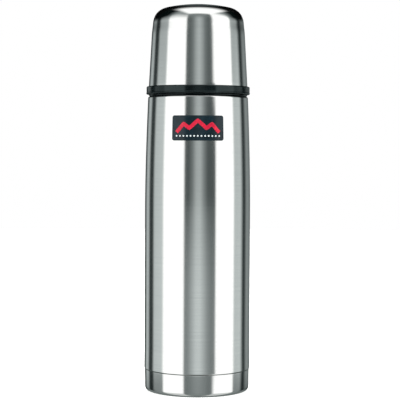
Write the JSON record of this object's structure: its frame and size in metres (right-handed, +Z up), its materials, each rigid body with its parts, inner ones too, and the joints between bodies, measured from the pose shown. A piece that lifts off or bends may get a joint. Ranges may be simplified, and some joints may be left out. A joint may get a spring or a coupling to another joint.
{
  "type": "vacuum flask",
  "caption": "Tall round stainless steel vacuum flask with a screw-on domed cup over a push-button pouring stopper, a black ring at the cup's mouth and a small badge.",
  "frame": {"origin": "middle of the flat foot ring that the flask stands on", "axes": "+Z up along the flask's axis, -Y towards the front with the badge, +X to the right seen from the front"},
  "size_m": [0.079, 0.079, 0.29],
  "materials": {
    "polished_steel": "fine-brushed and polished stainless steel",
    "inner_steel": "plain pressed stainless steel",
    "spring_steel": "drawn stainless spring wire",
    "copper_foil": "bright rolled foil",
    "getter_metal": "sintered grey metal",
    "solder": "solidified bead",
    "black_plastic": "satin moulded polypropylene",
    "grey_plastic": "satin moulded polypropylene",
    "silicone": "soft translucent silicone",
    "badge_enamel": "gloss enamel on a thin metal plate"
  },
  "bodies": {
    "flask": {"outer_shell": "polished_steel", "inner_bottle": "inner_steel", "base_cap": "polished_steel", "vacuum_base": "inner_steel", "port_seal": "solder", "radiation_foil": "copper_foil", "neck_collar": "black_plastic", "badge_plate": "badge_enamel", "getter_cup": "inner_steel", "getter_pellet": "getter_metal"},
    "cup_carrier": {"cup_liner": "black_plastic"},
    "cup": {"cup_shell": "polished_steel", "cup_band": "black_plastic"},
    "stopper_carrier": {"stopper_gasket": "silicone"},
    "stopper": {"stopper_housing": "black_plastic", "stopper_cover": "black_plastic", "return_spring": "spring_steel", "latch_spring": "spring_steel"},
    "button": {"push_button": "grey_plastic", "valve_stem": "grey_plastic", "valve_disc": "black_plastic", "valve_gasket": "silicone", "stem_clip": "spring_steel"},
    "key": {"release_key": "grey_plastic"}
  },
  "joints": [
    {"name": "cup_lift", "type": "slide", "parent": "flask", "child": "cup_carrier", "axis": [0, 0, 1], "range_m": [0, 0.064]},
    {"name": "cup_turn", "type": "hinge", "parent": "cup_carrier", "child": "cup", "pos_m": [0, 0, 0.23], "axis": [0, 0, 1], "range_deg": [0, 1440]},
    {"name": "stopper_lift", "type": "slide", "parent": "flask", "child": "stopper_carrier", "axis": [0, 0, 1], "range_m": [0, 0.016]},
    {"name": "stopper_turn", "type": "hinge", "parent": "stopper_carrier", "child": "stopper", "pos_m": [0, 0, 0.235], "axis": [0, 0, 1], "range_deg": [0, 720]},
    {"name": "button_press", "type": "slide", "parent": "stopper", "child": "button", "axis": [0, 0, -1], "range_m": [0, 0.004], "stiffness_N_per_m": 700, "springref_m": -0.006, "deforming": ["return_spring"]},
    {"name": "release_press", "type": "slide", "parent": "stopper", "child": "key", "axis": [0, -1, 0], "range_m": [0, 0.002], "stiffness_N_per_m": 600, "springref_m": -0.004, "deforming": ["latch_spring"]}
  ],
  "couplings": [
    {"joint": "cup_lift", "follows": "cup_turn", "m_per_rad": 0.0025465},
    {"joint": "stopper_lift", "follows": "stopper_turn", "m_per_rad": 0.0012732}
  ]
}
